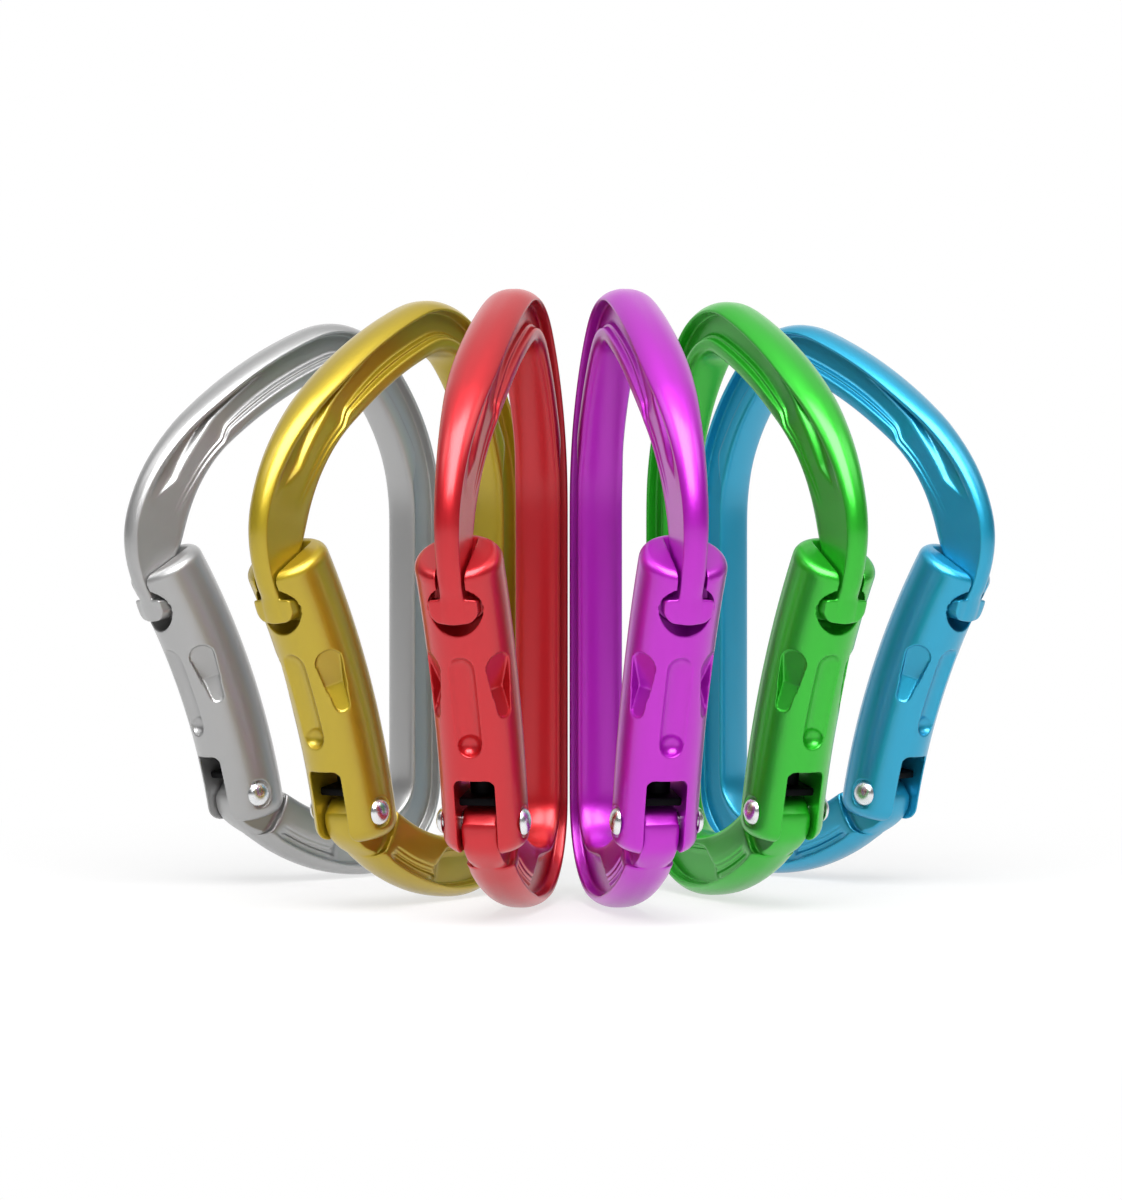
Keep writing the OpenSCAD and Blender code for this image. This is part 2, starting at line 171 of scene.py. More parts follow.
# %% [markdown]
# ## The frame's centreline
#
# The real frame is a straight bar that is bent into a hook and then forged. The model could be pulled round
# the bends face by face, but it is easier to measure while it is straight, where every place along it is
# one number. So it is shaped first and bent afterwards. The centreline is a chain of straight lines and
# arcs, from the hinge tail round the basket, the spine and the bow to the nose. Each stretch is given by
# its length and by how far it turns.

# %% Centreline
TAIL = Vector((42.288, 14.731, 0))
TAIL_R = 4.7
STRETCHES = [  # length in mm, turn to the right in degrees
    (TAIL_R, 0), (6.9, 0), (21.223, 32), (18.85, 90), (48.008, 0), (29.845, 45), (13.055, 68),
    (27.157, 18), (20.735, 36), (15.432, 26), (3, 0)]
ARM_HEADING = 212


def centreline(step=0.4):
    """Points along the bent bar's middle, from the round end of the tail to the tip of the nose."""
    heading = math.radians(ARM_HEADING)
    point = TAIL - TAIL_R * Vector((math.cos(heading), math.sin(heading), 0))
    points = [point.copy()]
    for length, turn in STRETCHES:
        count = max(1, round(length / step))
        for _ in range(count):
            heading -= math.radians(turn) / count / 2
            point = point + length / count * Vector((math.cos(heading), math.sin(heading), 0))
            heading -= math.radians(turn) / count / 2
            points.append(point.copy())
    return points


def bend_curve(name, points):
    """A curve through points, for bending a straight piece along it."""
    data = bpy.data.curves.new(name, "CURVE")
    data.dimensions = "2D"
    spline = data.splines.new("POLY")
    spline.points.add(len(points) - 1)
    for spot, point in zip(spline.points, points):
        spot.co = (*point, 1)
    curve = bpy.data.objects.new(name, data)
    bpy.context.scene.collection.objects.link(curve)
    return curve


middle_line = bend_curve("centreline", centreline())
bar_length = sum(length for length, _ in STRETCHES)
print(f"bar {bar_length:.1f} mm long before bending")

# %% [markdown]
# ## The straight bar
#
# Forging squeezes the bar into the shape of an I: a round outer flange, a recess in each side and an inner
# rib. A Boolean could cut the recess, but its steps change all along the bar, so they are built in. Only
# the upper half is made: a strip of faces is pulled out along the bar, row by row, and every row is set to
# the measures at its place. The tables hold pairs of a place and a measure, both in mm, and a place is
# counted along the bar from the middle of the hinge tail.
#
# The recess has a groove along the outer flange and a ledge under the inner rib. Its floor comes up towards
# the nose, where the groove goes on a little further, with a wide bevel to the floor.

# %% Measures along the bar
# Depth of the bar, from the outer to the inner edge
DEPTH = [
    (-4.7, 1.6), (-4.5, 2.9), (-3.9, 5.2), (-2.8, 7.55), (-1.2, 9.1), (0, 9.4), (6.9, 10), (28.1, 10.6),
    (37.5, 9.8), (47, 8.6), (95, 8.6), (124.8, 8.9), (137.9, 9.2), (165, 9.2), (170.5, 9.65),
    (175.5, 10.35), (180.5, 11), (185.8, 11.4), (189, 10.7), (192, 9.2), (195, 7), (197.7, 5), (198.4, 4.4),
    (200.4, 4), (202.1, 3.4)]
# Half of its thickness
HALF = [
    (-4.7, 2.8), (5.6, 2.8), (5.9, 3.8), (158.5, 3.8), (162.5, 3.68), (166.5, 3.42), (171, 3.02),
    (175.5, 2.62), (181, 2.22), (185.8, 1.95), (192.5, 1.8), (202.1, 1.75)]
# Width of the round on the outer edge
CROWN = [
    (-4.7, 0.45), (2, 0.45), (5.6, 1.4), (5.9, 1.7), (160, 1.7), (186, 1.2), (197.7, 0.9), (198.4, 0.4),
    (202.1, 0.4)]
# Width of the outer flange
OUTER_LIP = [
    (-4.7, 0.8), (2, 0.8), (5.6, 1.8), (5.9, 2.1), (19.3, 2.1), (21.6, 1.95), (28, 2.4), (38, 2.1),
    (47, 1.95), (95, 1.95), (125, 2), (160, 2.1), (177, 2), (186, 1.7), (197.7, 1.4), (198.4, 0.8),
    (202.1, 0.8)]
# Depth and width of the groove, and width of the bevel from there to the floor
GROOVE = [
    (-4.7, 0), (7.2, 0), (8.2, 0.9), (18.3, 0.95), (20.4, 1.8), (151, 1.9), (166, 1.75), (172, 1.4),
    (177.4, 1), (179.5, 0.5), (181.6, 0.1), (183, 0), (202.1, 0)]
GROOVE_W = [
    (-4.7, 0.3), (7.2, 0.3), (8.2, 0.8), (18.3, 0.8), (20.4, 0.6), (165, 0.5), (166.8, 0.6), (177.4, 2.3),
    (180.2, 1.6), (183, 0.5), (202.1, 0.3)]
BEVEL_RUN = [(-4.7, 0.3), (165.6, 0.3), (167.5, 0.9), (177.4, 0.9), (180.2, 0.4), (202.1, 0.3)]
# Depth of the recess's floor
FLOOR_DOWN = [
    (-4.7, 0), (7.2, 0), (8.2, 0.45), (18.3, 0.45), (20.4, 1.8), (151, 1.9), (158, 1.5), (163.9, 0.9),
    (166.8, 0.5), (172, 0.35), (177.4, 0.25), (182, 0.1), (184.6, 0), (202.1, 0)]
# Width of the inner rib
INNER_RIB = [
    (-4.7, 0.9), (5.6, 0.9), (5.9, 5.5), (18.3, 5.4), (20.4, 2.3), (23, 1.6), (38, 1.4), (47, 1.15),
    (95, 1.1), (101.2, 1.1), (106.8, 3.3), (112, 2.9), (124.8, 2.6), (163.9, 2.5), (165.6, 1.4),
    (176.2, 1.9), (184.6, 3.2), (192, 1.2), (202.1, 0.9)]
# How far the nose lies inwards of the centreline
NOSE_SET_BACK = [(-4.7, 0), (196.6, 0), (198.4, 0.4), (202.1, 0.5)]
# Places of the rows, close together where a measure changes fast
ROWS = [
    -4.5, -3.9, -2.8, -1.2, 0.6, 2.2, 5.6, 5.9, 7.2, 8.2, 9.4, 11.4, 13.5, 15.5, 17.3, 18.3, 19.3, 20.4,
    21.6, 23.3, 25.5, 28.1, 30.2, 32.3, 34.4, 36.5, 38.6, 40.7, 42.8, 44.9, 47, 51.5, 57.5, 63.5, 69.5,
    75.5, 80.5, 85.5, 90.5, 95, 98, 100.2, 101.2, 103, 105, 106.8, 107.8, 109.5, 112, 115, 118.5, 121.8,
    124.8, 126.7, 128.5, 130.4, 132.3, 134.1, 136, 137.9, 140.5, 144, 147.5, 151, 154.5, 157.5, 160, 162.4,
    163.9, 165.6, 166.8, 168.4, 171, 174, 176.2, 177.4, 178.8, 180.2, 181.6, 183, 184.6, 186.4, 188.4,
    190.6, 192.8, 195, 196.6, 197.7, 198.4, 199.4, 200.4, 201.3, 202.1]


def measure(table, at):
    """Value of a table at a place along the bar, straight between its entries."""
    for (a, low), (b, high) in zip(table, table[1:]):
        if at <= b:
            return low + (high - low) * max(0, at - a) / (b - a)
    return table[-1][1]


print(len(ROWS), "rows along the bar")

# %% [markdown]
# A row has seven points down from the outer edge to the recess's floor, and six up from the floor to the
# inner edge. The two rows of the step round the gate's ear lie on a circle about the hinge, because the ear
# sweeps along it.

# %% Points of one row
CROWN_ARC = ((0.1, 0.66), (0.48, 0.22), (1, 0))  # shares of the round's width and of the half thickness
STEP_RUN, LEDGE, LEDGE_SHARE = 0.3, 0.4, 0.55
INNER_ROUND, INNER_CROWN = 0.85, 0.3
LEAST_FLOOR = 0.2
HINGE_ON_BAR = (-2.17, -0.57)
EAR_SWEEP_R = 7.85
EAR_ROWS = (5.6, 5.9)


def row_points(at):
    """A row's points along, across and up at a place on the bar, from the outer to the inner edge."""
    depth, half, floor = measure(DEPTH, at), measure(HALF, at), measure(FLOOR_DOWN, at)
    crown, lip, rib = measure(CROWN, at), measure(OUTER_LIP, at), measure(INNER_RIB, at)
    groove = measure(GROOVE, at)
    groove_edge = lip + STEP_RUN + measure(GROOVE_W, at)
    outer = [(inward * crown, down * half) for inward, down in CROWN_ARC]
    outer += [(lip, 0), (lip + STEP_RUN, groove), (groove_edge, groove)]
    outer += [(groove_edge + measure(BEVEL_RUN, at), floor)]
    ledge_edge, ledge = rib + STEP_RUN + LEDGE, LEDGE_SHARE * floor
    inner = [(ledge_edge + STEP_RUN, floor), (ledge_edge, ledge), (rib + STEP_RUN, ledge), (rib, 0)]
    inner += [(INNER_ROUND, 0), (INNER_CROWN, min(INNER_ROUND, half / 2))]
    squeeze = min(1, (depth - LEAST_FLOOR) / (outer[-1][0] + inner[0][0]))
    edge, middle = depth / 2, -measure(NOSE_SET_BACK, at)
    points = [(at, middle + edge - squeeze * inward, half - down) for inward, down in outer]
    points += [(at, middle - edge + squeeze * inward, half - down) for inward, down in inner]
    if at in EAR_ROWS:
        hinge_along, hinge_across = HINGE_ON_BAR
        lag = at - EAR_ROWS[0] + hinge_along
        points = [(lag + math.sqrt(EAR_SWEEP_R ** 2 - (y - hinge_across) ** 2), y, z) for _, y, z in points]
    return [Vector(p) for p in points]


print(len(row_points(ROWS[0])), "points in a row")

# %% Pull the strip out along the bar
# The first row's points are numbered, and a point that is pulled out of one keeps its number.
bar = draw_line("frame_model", row_points(ROWS[0]))
bm = bmesh.from_edit_mesh(bar.data)
column = bm.verts.layers.int.new("column")
for number, v in enumerate(sorted(bm.verts, key=lambda v: -v.co.y)):
    v[column] = number
pick("EDGE", lambda at, e: True)
for last, at in zip(ROWS, ROWS[1:]):
    bpy.ops.mesh.extrude_region_move(TRANSFORM_OT_translate={"value": (at - last, 0, 0)})
    bm = bmesh.from_edit_mesh(bar.data)
    column = bm.verts.layers.int["column"]
    places = row_points(at)
    for v in bm.verts:
        if v.select:
            v.co = places[v[column]]
    bmesh.update_edit_mesh(bar.data)
print(len(bm.verts), "points in the strip")

# %% [markdown]
# ## Firm lines, walls and the nose's head
#
# Subdivision would melt the steps of the recess. More lines of points would hold them, but creases do it
# with fewer, and the sharpest edges get the firmest ones. The rim of the strip is then pulled down to the
# middle plane, which gives the outer and the inner wall. At the tip, the top faces are pulled up in two
# steps that get shorter. This is one half of the T-shaped head that locks into the gate. When the carabiner
# stands, the head has a nearly flat top and a bottom like a smile.

# %% Crease the steps
CREASES = {2: 0.75, 3: 0.9, 4: 0.7, 5: 0.9, 6: 0.7, 7: 0.6, 8: 0.7, 9: 0.7, 10: 0.9}  # by a point's number
RECESS_FROM, RECESS_TO = 6.5, 184
CROWN_EDGE, CROWN_TO = 2, 197
EAR_FROM, EAR_CREASE = 2.5, 0.8


def runs_along(e, number):
    """True for an edge along the bar in one column: in the recess, or on the crown as far as the nose."""
    last = CROWN_TO if number == CROWN_EDGE else RECESS_TO
    same_column = all(v[column] == number for v in e.verts)
    return same_column and all(RECESS_FROM < v.co.x < last for v in e.verts)


def crosses_at_ear(at, e):
    """True for an edge across the bar in the rows of the step round the gate's ear."""
    first, second = [v[column] for v in e.verts]
    return EAR_FROM < at.x < RECESS_FROM and abs(first - second) == 1


for number, crease in CREASES.items():
    pick("EDGE", lambda at, e: runs_along(e, number))
    bpy.ops.transform.edge_crease(value=crease)
ear_edges = pick("EDGE", crosses_at_ear)
bpy.ops.transform.edge_crease(value=EAR_CREASE)
print(ear_edges, "edges round the ear")

# %% Walls and nose head
TINY = 0.01
WALL_DOWN, INNER_SIDE = 0.5, -3
HEAD_FROM, HEAD_OVER, FACING_UP = 198.3, 1, 0.9
HEAD_STEPS = ((1.1, 0.92, 1, 0), (0.85, 0.6, 0.8, 0.5))  # rise, shares of length and width, centre below top

pick("EDGE", lambda at, e: e.is_boundary)
bpy.ops.mesh.extrude_region_move(TRANSFORM_OT_translate={"value": (0, 0, -WALL_DOWN)})
bpy.ops.transform.resize(value=(1, 1, 0), center_override=(0, 0, 0))
pick("VERT", lambda at, v: at.z < TINY and at.y < INNER_SIDE and RECESS_FROM < at.x < RECESS_TO)
bpy.ops.transform.translate(value=(0, -INNER_CROWN, 0))
pick("FACE", lambda at, f: at.x > HEAD_FROM and abs(f.normal.z) > FACING_UP and at.z > HEAD_OVER)
for rise, along_share, across_share, below_top in HEAD_STEPS:
    centre = (HEAD_FROM + below_top, 0, 0)
    bpy.ops.mesh.extrude_region_move(TRANSFORM_OT_translate={"value": (0, 0, rise)})
    bpy.ops.transform.resize(value=(along_share, across_share, 1), center_override=centre)
bpy.ops.object.mode_set(mode="OBJECT")
print(len(bar.data.polygons), "faces in the half bar")

# %% [markdown]
# ## Both halves, the bend and the smooth skin
#
# Mirror gives the other half, and Curve bends the straight bar along the centreline. Subdivision could come
# before the bend as well. It comes last, so that it smooths the bent cage and not the straight one.

# %% Mirror, bend and subdivide
bar.data.transform(Matrix.Translation((TAIL_R, 0, 0)))
finish_with(bar, "MIRROR", use_axis=(False, False, True), use_clip=True, merge_threshold=TINY)
tidy(bar, merge=TINY)
finish_with(bar, "CURVE", object=middle_line, deform_axis="POS_X")
finish_with(bar, "SUBSURF", levels=2, render_levels=2)
print("frame box", [round(c, 2) for c in bar.dimensions], len(bar.data.polygons), "faces")

# %% [markdown]
# ## The gate's round bar
#
# The gate is a solid bar with a slight bend, hollow towards the climber's thumb. A curve with a round
# section would do, but a ring of points that is spun about the centre of the bend sweeps the bar in one
# step and gives an even mesh for the cuts. Its ends are pulled out in shrinking steps: a soft lip at the
# top, and a wider round at the bottom, where the two ears turn about the rivet.

# %% Spin the bar
BEND = Vector((158.094, -7.919, 0))
BEND_R = 118
GATE_R = 6.6
TAIL_ANGLE, HEAD_ANGLE = 168.934, 150.337
DEG_PER_MM = 180 / (math.pi * BEND_R)
GATE_UNDER, GATE_OVER = 2.7, 7.4
GATE_TOP = (TAIL_ANGLE - HEAD_ANGLE) / DEG_PER_MM + GATE_OVER
LIP_ROUND, EAR_ROUND = 1.6, 2.5


def on_axis(up):
    """Place on the gate's axis, up from the tail's middle: x to the front, y up it, z to the side."""
    angle = math.radians(TAIL_ANGLE - up * DEG_PER_MM)
    spot = BEND + BEND_R * Vector((math.cos(angle), math.sin(angle), 0))
    return Matrix.Translation(spot) @ Matrix.Rotation(angle - math.pi, 4, "Z")


def spun_bar(name, radius, low, high, front=0.0, points=72, steps=60):
    """A round bar along the gate's axis, or in front of it, between two heights."""
    piece = add(bpy.ops.mesh.primitive_circle_add, vertices=points, radius=radius, fill_type="NGON")
    lying = Matrix.Rotation(math.pi / 2, 4, "X")
    piece.data.transform(on_axis(low) @ Matrix.Translation((front, 0, 0)) @ lying)
    start(piece, name)
    bpy.ops.mesh.select_all(action="SELECT")
    turn = math.radians((high - low) * DEG_PER_MM)
    bpy.ops.mesh.spin(steps=steps, angle=turn, center=BEND, axis=(0, 0, 1))
    bpy.ops.object.mode_set(mode="OBJECT")
    tidy(piece)
    return piece


gate = spun_bar("gate_model", GATE_R, EAR_ROUND - GATE_UNDER, GATE_TOP - LIP_ROUND)
print("gate bar", [round(c, 2) for c in gate.dimensions])

# %% Round the ends
FACING_END = 0.99


def round_end(up, side, width, steps=6):
    """Pulls one end of the bar out in steps along a quarter of a circle, which rounds its rim."""
    centre = on_axis(up).translation
    way = side * on_axis(up).to_3x3().col[1]
    pick("FACE", lambda at, f: f.normal.dot(way) > FACING_END)
    done, radius = 0, GATE_R
    for step in range(1, steps + 1):
        turn = math.pi / 2 * step / steps
        rise, smaller = width * math.sin(turn), GATE_R - width * (1 - math.cos(turn))
        bpy.ops.mesh.extrude_region_move(TRANSFORM_OT_translate={"value": (rise - done) * way})
        bpy.ops.transform.resize(value=3 * (smaller / radius,), center_override=centre + rise * way)
        done, radius = rise, smaller


start(gate, "gate_model")
round_end(GATE_TOP - LIP_ROUND, 1, LIP_ROUND)
round_end(EAR_ROUND - GATE_UNDER, -1, EAR_ROUND)
bpy.ops.object.mode_set(mode="OBJECT")
print("gate box", [round(c, 2) for c in gate.dimensions])

# %% [markdown]
# ## Cuts in the gate
#
# Everything else on the gate is cut out of the bar, as a mill would do it: the keyhole for the nose, the
# fork for the hinge tail, the long groove at the front, a thumb dimple on each side, the rivet's hole and
# seats, and the spring's bore. Insets could give the shallow ones, but a cut through a round bar is cleaner
# with a Boolean. A tool is a primitive that is shaped and moved into place, and then taken away.

# %% Tools for cutting
def drum(radius, low, high, matrix, points=64):
    """A round tool along z, between two heights."""
    tool = add(bpy.ops.mesh.primitive_cylinder_add, vertices=points, radius=radius, depth=high - low)
    tool.data.transform(matrix @ Matrix.Translation((0, 0, (low + high) / 2)))
    return tool


def block(low, high, matrix):
    """A square tool between two corners."""
    low, high = Vector(low), Vector(high)
    tool = add(bpy.ops.mesh.primitive_cube_add, size=1)
    tool.data.transform(matrix @ Matrix.Translation((low + high) / 2) @ Matrix.Diagonal((*(high - low), 1)))
    return tool


def ball(radius, matrix):
    """A ball-shaped tool."""
    tool = add(bpy.ops.mesh.primitive_uv_sphere_add, segments=48, ring_count=32, radius=radius)
    tool.data.transform(matrix)
    return tool


def use_tool(piece, tool, operation):
    """Takes a tool away from a piece, or joins it on, and removes the tool."""
    finish_with(piece, "BOOLEAN", object=tool, operation=operation, solver="EXACT")
    bpy.data.objects.remove(tool)


def cut(piece, tool):
    """Takes a tool away from a piece."""
    use_tool(piece, tool, "DIFFERENCE")


def along(point, degrees):
    """Place at a point of the drawing, with z along a heading in the drawing's plane and y across it."""
    return (Matrix.Translation((*point, 0)) @ Matrix.Rotation(math.radians(degrees), 4, "Z")
            @ Matrix.Rotation(math.pi / 2, 4, "Y"))


print("cutting starts from", len(gate.data.polygons), "faces")

# %% Keyhole
HEAD = (60.946, 47.412)
SLOT_FOOT, SLOT_LEAN = (58.37, 48.0), 13.97
SLOT_HALF, SLOT_UNDER, SLOT_HIGH, SLOT_FRONT = 2.2, 1, 30, 25
POCKET_R, POCKET_BACK, POCKET_FRONT = 4.1, 4.2, 16
POCKET_AIM, POCKET_LIFT = -28.9, 1.05

slot_at = Matrix.Translation((*SLOT_FOOT, 0)) @ Matrix.Rotation(math.radians(SLOT_LEAN), 4, "Z")
cut(gate, block((0, -SLOT_UNDER, -SLOT_HALF), (SLOT_FRONT, SLOT_HIGH, SLOT_HALF), slot_at))
pocket_at = along(HEAD, POCKET_AIM) @ Matrix.Translation((0, POCKET_LIFT, 0))
cut(gate, drum(POCKET_R, -POCKET_BACK, POCKET_FRONT, pocket_at))
print("gate faces after the keyhole", len(gate.data.polygons))

# %% Fork
FORK_HALF, FORK_REACH, FORK_UNDER = 3.15, 14, 26
WINDOW_UP, WINDOW_ROUND = 9.5, 1.2
NEAR = 0.1

fork = block((-FORK_REACH, -FORK_UNDER, -FORK_HALF), (FORK_REACH, WINDOW_UP, FORK_HALF), on_axis(0))
up_axis = on_axis(0).to_3x3().col[1]


def at_window_corner(at, e):
    """True for the two upper edges of the fork's tool that run from front to back."""
    return (at - TAIL).dot(up_axis) > WINDOW_UP - NEAR and abs(abs(at.z) - FORK_HALF) < TINY


start(fork, "fork_cutter")
pick("EDGE", at_window_corner)
bpy.ops.mesh.bevel(offset=WINDOW_ROUND, segments=5, profile=0.5, affect="EDGES")
bpy.ops.object.mode_set(mode="OBJECT")
cut(gate, fork)
print("gate faces after the fork", len(gate.data.polygons))

# %% Groove
GROOVE_LOW, GROOVE_HIGH = 16.2, 29.0
GROOVE_R, GROOVE_FLOOR = 2.7, 5.35
SCOOP_R, SCOOP_FLOOR = 1.9, 4.8
BALL_OUT = 0.02  # keeps the ball's skin off the groove's

groove_tool = spun_bar("groove_cutter", GROOVE_R, GROOVE_LOW, GROOVE_HIGH, front=GROOVE_FLOOR + GROOVE_R)
cut(gate, groove_tool)
groove_end = on_axis(GROOVE_HIGH) @ Matrix.Translation((GROOVE_FLOOR + GROOVE_R + BALL_OUT, 0, 0))
cut(gate, ball(GROOVE_R, groove_end))
scoop_at = on_axis(GROOVE_LOW) @ Matrix.Translation((SCOOP_FLOOR + SCOOP_R, 0, 0))
cut(gate, ball(SCOOP_R, scoop_at))
print("gate faces after the groove", len(gate.data.polygons))

# %% [markdown]
# A dimple is a drop, wide at the top and with a narrow tip. Its floor has two facets that meet in a step:
# the long upper one slopes into the bar, and the short lower one comes out again. One cutter with a bent
# floor would need more shaping, so the same drop is made twice, trimmed at the step and tilted the other
# way.

# %% Dimples
DIMPLE_UP, DIMPLE_TURN = 28.9, 52
DIMPLE_R, DIMPLE_TIP_R, DIMPLE_LENGTH = 2.15, 1.2, 8.0
DIMPLE_TOOL_H = 5
STEP_AT, STEP_FLOOR = -4.5, 4.6
UPPER_TILT, LOWER_TILT = 15, -26


def dimple(side, tilt, keep_upper):
    """One facet's cutter on one side of the gate: a drum with its lower half narrowed and pulled down."""
    tool = drum(DIMPLE_R, 0, DIMPLE_TOOL_H, Matrix.Identity(4))
    start(tool, "dimple_cutter")
    pick("VERT", lambda at, v: at.y < -TINY)
    narrow = DIMPLE_TIP_R / DIMPLE_R
    bpy.ops.transform.resize(value=(narrow, narrow, 1), center_override=(0, 0, 0))
    bpy.ops.transform.translate(value=(0, -DIMPLE_LENGTH, 0))
    bpy.ops.mesh.select_all(action="SELECT")
    bpy.ops.mesh.bisect(plane_co=(0, STEP_AT, 0), plane_no=(0, 1, 0), clear_inner=keep_upper,
                        clear_outer=not keep_upper, use_fill=True)
    bpy.ops.object.mode_set(mode="OBJECT")
    step = Matrix.Translation((0, STEP_AT, 0))
    tilted = step @ Matrix.Rotation(math.radians(tilt), 4, "X") @ step.inverted()
    facing = Matrix.Diagonal((1, 1, side, 1)) @ Matrix.Rotation(math.radians(90 - DIMPLE_TURN), 4, "Y")
    tool.data.transform(on_axis(DIMPLE_UP) @ facing @ Matrix.Translation((0, 0, STEP_FLOOR)) @ tilted)
    tidy(tool)
    return tool


for side in (1, -1):
    cut(gate, dimple(side, UPPER_TILT, True))
    cut(gate, dimple(side, LOWER_TILT, False))
print("gate faces after the dimples", len(gate.data.polygons))

# %% Hinge holes, rivet seats and spring bore
HINGE = Vector((43.831, 16.365, 0))
EAR_HOLE_R, TAIL_HOLE_R, HOLE_REACH = 1.42, 1.46, 9
RIVET_SEAT, SEAT_R, SEAT_REACH = 6.14, 2.45, 12
BORE_HEADING, BORE_R, BORE_END = 78.934, 2.2, 25.2

at_hinge = Matrix.Translation(HINGE)
in_bore = along(TAIL.xy, BORE_HEADING)
cut(gate, drum(EAR_HOLE_R, -HOLE_REACH, HOLE_REACH, at_hinge))
for low, high in ((RIVET_SEAT, SEAT_REACH), (-SEAT_REACH, -RIVET_SEAT)):
    cut(gate, drum(SEAT_R, low, high, at_hinge))
cut(gate, drum(BORE_R, 0, BORE_END, in_bore))
cut(bar, drum(TAIL_HOLE_R, -HOLE_REACH, HOLE_REACH, at_hinge))
print("gate faces after drilling", len(gate.data.polygons))

# %% [markdown]
# ## Tumbled edges
#
# After milling, gates are tumbled with stones, which rounds every edge a little. Bevels would trip over the
# many small faces that the cuts leave. So a fine voxel remesh makes one even skin of the cut bar, and a
# smoothing pass rolls its edges over. Decimate takes out the points that the nearly flat stretches don't
# need.

# %% Remesh and smooth
finish_with(gate, "REMESH", mode="VOXEL", voxel_size=0.17)
finish_with(gate, "SMOOTH", factor=0.5, iterations=4)
finish_with(gate, "DECIMATE", ratio=0.4)
for piece in (bar, gate):
    only(piece)
    bpy.ops.object.shade_smooth()
print("gate", [round(c, 2) for c in gate.dimensions], len(gate.data.polygons), "faces")

# %% [markdown]
# ## The rivet
#
# A steel pin with a dome pressed on at both ends. Two balls and a cylinder could be joined, but a turned
# piece is simplest as a spin: one side of its outline is drawn as a line and spun about the hinge.

# %% Spin the rivet
DOME = [(0, 1.2), (0.5, 1.19), (0.95, 1.11), (1.4, 0.94), (1.78, 0.68), (2.02, 0.36), (2.1, 0.07),
        (2.02, 0.003), (1.4, 0.003)]  # distance from the axis, height over the seat
outline = [Vector((r, 0, RIVET_SEAT + z)) + HINGE for r, z in DOME]
outline += [Vector((r, 0, -RIVET_SEAT - z)) + HINGE for r, z in reversed(DOME)]
rivet = draw_line("rivet_model", outline)
bpy.ops.mesh.select_all(action="SELECT")
bpy.ops.mesh.spin(steps=48, angle=2 * math.pi, center=HINGE, axis=(0, 0, 1))
bpy.ops.object.mode_set(mode="OBJECT")
tidy(rivet, merge=0.005)
bpy.ops.object.shade_smooth_by_angle(angle=math.radians(40))
print("rivet", [round(c, 2) for c in rivet.dimensions])

# %% [markdown]
# ## The plunger
#
# A pin in the gate's bore, which the spring presses on the hinge tail. Its foot is flat and nearly as wide
# as the fork, so that it rides on the round tail without tilting, and it closes the window above the tail.
# Its near-black colour is painted shade, which makes that window dark.
# The pin could be pulled up out of the foot's top face, but that face is square and the bore is round. So
# the foot is a cube with broken edges, and a round pin is joined on.

# %% Join the plunger
FOOT_LOW, FOOT_HIGH, PIN_HIGH = 5.0, 6.3, 10.8
FOOT_FRONT, FOOT_BACK, FOOT_HALF, FOOT_ROUND = 4.4, -4.6, 2.9, 0.35
PIN_R, PIN_SUNK = 2.1, 0.6

foot_corners = (FOOT_BACK, FOOT_LOW, -FOOT_HALF), (FOOT_FRONT, FOOT_HIGH, FOOT_HALF)
plunger = block(*foot_corners, Matrix.Identity(4))
start(plunger, "plunger_model")
pick("EDGE", lambda at, e: True)
bpy.ops.mesh.bevel(offset=FOOT_ROUND, segments=3, profile=0.5, affect="EDGES")
bpy.ops.object.mode_set(mode="OBJECT")
pin = drum(PIN_R, 0, PIN_HIGH - FOOT_HIGH + PIN_SUNK, Matrix.Rotation(-math.pi / 2, 4, "X"))
pin.data.transform(Matrix.Translation((0, FOOT_HIGH - PIN_SUNK, 0)))
use_tool(plunger, pin, "UNION")
plunger.data.transform(on_axis(0))
tidy(plunger)
bpy.ops.object.shade_smooth_by_angle(angle=math.radians(35))
print("plunger", [round(c, 2) for c in plunger.dimensions])

# %% [markdown]
# ## The spring
#
# Six curls of wire between the plunger and the end of the bore. A bevelled curve would do, but it would
# have to be made a mesh. A small ring of points is the wire's section instead, and the Screw modifier winds
# it up about the bore's axis. The two open ends are closed with a face each.

# %% Wind the spring
WIRE_R, COIL_R, CURLS = 0.25, 1.89, 6
SPRING_LOW, SPRING_HIGH = 10.9, 25.1

spring = add(bpy.ops.mesh.primitive_circle_add, vertices=12, radius=WIRE_R)
wire_foot = Matrix.Translation((COIL_R, 0, SPRING_LOW + WIRE_R))
spring.data.transform(wire_foot @ Matrix.Rotation(math.pi / 2, 4, "X"))
pitch = (SPRING_HIGH - SPRING_LOW - 2 * WIRE_R) / CURLS
finish_with(spring, "SCREW", angle=2 * math.pi, screw_offset=pitch, iterations=CURLS, steps=24,
            render_steps=24)
start(spring, "spring_model")
bpy.ops.mesh.select_all(action="SELECT")
bpy.ops.mesh.fill_holes(sides=0)
bpy.ops.object.mode_set(mode="OBJECT")
spring.data.transform(in_bore)
tidy(spring)
bpy.ops.object.shade_smooth_by_angle(angle=math.radians(50))
print("spring", [round(c, 2) for c in spring.dimensions], len(spring.data.polygons), "faces")

# %% [markdown]
# ## Shader maths in Python
#
# A material is a graph of nodes. Written out node by node, even a short sum fills a page. So `Wire` stands
# for one output of that graph, and Python's own operators add the Math nodes. Every other node comes from
# `Graph.node`, which takes its settings and the values or wires of its inputs.

